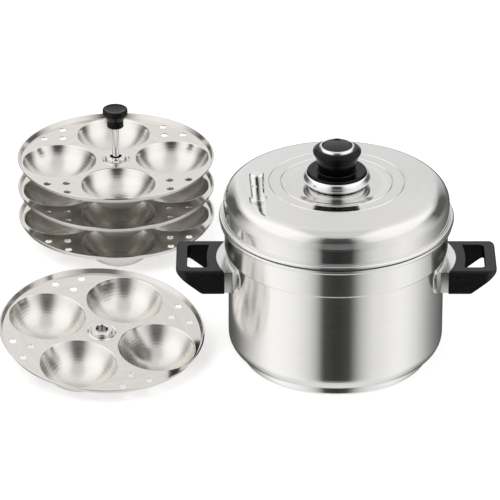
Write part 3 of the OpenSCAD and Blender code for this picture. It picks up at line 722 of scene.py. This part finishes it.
@dataclass(frozen=True)
class Tent:
    """A round cloth tent that only reflections see, as photographers set up for steel.

    Its spans are shares of the radius: heights, and for the gap between the boxes a distance
    to either side.
    """

    radius: float = 2.5
    segments: int = 48
    table_level: float = 0.85
    top_level: float = 0.74
    box_level: float = 1.2
    gap: tuple[float, float] = (0.20, 0.36)
    horizon: tuple[float, float] = (-0.14, 0.06)
    corner_flags_end: tuple[float, float] = (0.42, 0.60)
    front_flag_end: tuple[float, float] = (0.86, 0.96)
    table_start: tuple[float, float] = (-0.72, -0.86)

    def pitch(self) -> None:
        """Adds the tent round the object."""
        bpy.ops.mesh.primitive_uv_sphere_add(segments=self.segments,
                                             ring_count=self.segments // 2, radius=self.radius)
        tent = bpy.context.object
        tent.name = "tent"
        tent.data.materials.append(self._cloth())
        tent.visible_camera = False
        tent.visible_diffuse = False
        tent.visible_shadow = False

    def _cloth(self) -> bpy.types.Material:
        """Paints the cloth's levels by direction.

        Returns:
            The tent's material.
        """
        mat = new_material("tent_cloth")
        tree = mat.node_tree
        coords = add_node(tree, "ShaderNodeTexCoord").outputs["Object"]
        x, y, height = add_node(tree, "ShaderNodeSeparateXYZ", {0: coords}).outputs
        front = add_node(tree, "ShaderNodeMath", {0: y, 1: -1.0}, operation="MULTIPLY").outputs[0]
        angle = add_node(tree, "ShaderNodeMath", {0: x, 1: front}, operation="ARCTAN2").outputs[0]
        turn = add_node(tree, "ShaderNodeMapRange", {
            "Value": angle, "From Min": -math.pi, "From Max": math.pi,
        }).outputs[0]
        low, middle, high = (self._ramp(tree, turn, levels)
                             for levels in (TENT_LOW, TENT_MIDDLE, TENT_HIGH))
        cloth = self._blend(tree, height, self.horizon, low, middle)
        cloth = self._blend(tree, height, self.corner_flags_end, cloth, high)
        side = add_node(tree, "ShaderNodeMath", {0: x}, operation="ABSOLUTE").outputs[0]
        top = add_node(tree, "ShaderNodeMapRange", {
            "Value": side, "From Min": self.gap[0] * self.radius,
            "From Max": self.gap[1] * self.radius,
            "To Min": self.top_level, "To Max": self.box_level,
        }).outputs[0]
        cloth = self._blend(tree, height, self.front_flag_end, cloth, top)
        cloth = self._blend(tree, height, self.table_start, cloth, grey(self.table_level))
        glow = add_node(tree, "ShaderNodeEmission", {"Color": cloth}).outputs[0]
        add_node(tree, "ShaderNodeOutputMaterial", {0: glow})
        return mat

    @staticmethod
    def _ramp(tree: Tree, turn: Socket, levels: Levels) -> Socket:
        """Turns a direction into a level.

        Args:
            tree: The material's node tree.
            turn: The socket with the direction, 0 to 1 for a full turn.
            levels: Degrees and levels.

        Returns:
            The socket of the level.
        """
        ramp = add_node(tree, "ShaderNodeValToRGB", {"Fac": turn})
        elements = ramp.color_ramp.elements
        while len(elements) < len(levels):
            elements.new(0.5)
        for element, (degrees, level) in zip(elements, levels):
            element.position = (degrees + 180) / 360
            element.color = grey(level)
        return ramp.outputs["Color"]

    def _blend(
        self, tree: Tree, height: Socket, span: tuple[float, float], below: Socket,
        above: Socket | Colour,
    ) -> Socket:
        """Passes from one part of the tent to the next over a span of heights.

        Args:
            tree: The material's node tree.
            height: The socket with the height.
            span: Where the passage starts and ends, as shares of the radius.
            below: The socket before the span.
            above: The socket, or the plain grey, after it.

        Returns:
            The blended socket.
        """
        share = add_node(tree, "ShaderNodeMapRange", {
            "Value": height, "From Min": span[0] * self.radius, "From Max": span[1] * self.radius,
        }).outputs[0]
        return add_node(tree, "ShaderNodeMix", {"Factor": share, "A": below, "B": above},
                        data_type="RGBA").outputs["Result"]


@dataclass(frozen=True)
class Lamp:
    """One soft round lamp: its place, its diameter, its power in watts and what it faces."""

    name: str
    place: tuple[float, float, float]
    size: float
    power: float
    target: tuple[float, float, float] = (-0.08, 0.05, 0.06)

    def hang(self) -> None:
        """Adds the lamp, which no reflection shows."""
        data = bpy.data.lights.new(self.name, "AREA")
        data.shape = "DISK"
        data.size = self.size
        data.energy = self.power
        lamp = bpy.data.objects.new(self.name, data)
        lamp.location = self.place
        aim = Vector(self.target) - Vector(self.place)
        lamp.rotation_euler = aim.to_track_quat("-Z", "Y").to_euler()
        lamp.visible_glossy = False
        bpy.context.collection.objects.link(lamp)


@dataclass(frozen=True)
class Studio:
    """A white room with a pale floor, soft lamps and a tent for the steel."""

    floor_size: float = 12.0
    floor_glow: float = 0.45
    floor_roughness: float = 0.9
    room_level: float = 0.55
    lamps: tuple[Lamp, ...] = (
        Lamp("key", (-1.0, -1.3, 2.2), size=1.6, power=22.0),
        Lamp("fill", (1.6, -0.9, 1.5), size=1.4, power=10.0),
    )

    def build(self) -> None:
        """Adds floor, lamps, tent and surroundings."""
        self._floor()
        for lamp in self.lamps:
            lamp.hang()
        Tent().pitch()
        self._world()
        bpy.context.scene.view_settings.view_transform = "Standard"

    def _floor(self) -> None:
        """Adds the pale floor."""
        bpy.ops.mesh.primitive_plane_add(size=self.floor_size)
        floor = bpy.context.object
        floor.name = "floor"
        mat = new_material("white_paper_floor")
        surface = add_node(mat.node_tree, "ShaderNodeBsdfPrincipled", {
            "Base Color": linear(Tone.FLOOR), "Roughness": self.floor_roughness,
            "Specular IOR Level": 0.0, "Emission Color": linear(Tone.FLOOR),
            "Emission Strength": self.floor_glow,
        }).outputs[0]
        add_node(mat.node_tree, "ShaderNodeOutputMaterial", {0: surface})
        floor.data.materials.append(mat)
        floor.visible_glossy = False

    def _world(self) -> None:
        """Makes surroundings that camera and metal see as white and that light softly."""
        world = bpy.data.worlds.new("studio")
        bpy.context.scene.world = world
        world.use_nodes = True
        tree = world.node_tree
        tree.nodes.clear()
        path = add_node(tree, "ShaderNodeLightPath").outputs
        seen = path["Is Camera Ray"]
        for ray in ("Is Glossy Ray", "Is Transmission Ray"):
            seen = add_node(tree, "ShaderNodeMath", {0: seen, 1: path[ray]},
                            operation="MAXIMUM").outputs[0]
        soft = add_node(tree, "ShaderNodeBackground", {"Color": grey(self.room_level)}).outputs[0]
        white = add_node(tree, "ShaderNodeBackground", {"Color": grey(1.0)}).outputs[0]
        mix = add_node(tree, "ShaderNodeMixShader", {0: seen, 1: soft, 2: white}).outputs[0]
        add_node(tree, "ShaderNodeOutputWorld", {0: mix})


def main() -> None:
    """Loads the frame, dresses it and sets the stage."""
    logging.basicConfig(level=logging.INFO)
    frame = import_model()
    maker = MaterialMaker()
    for part in (Pot, Lid, Stand, LoosePlate):
        part(frame["nodes"], maker).dress()
    Studio().build()
    Shot().place()


if __name__ == "__main__":
    main()
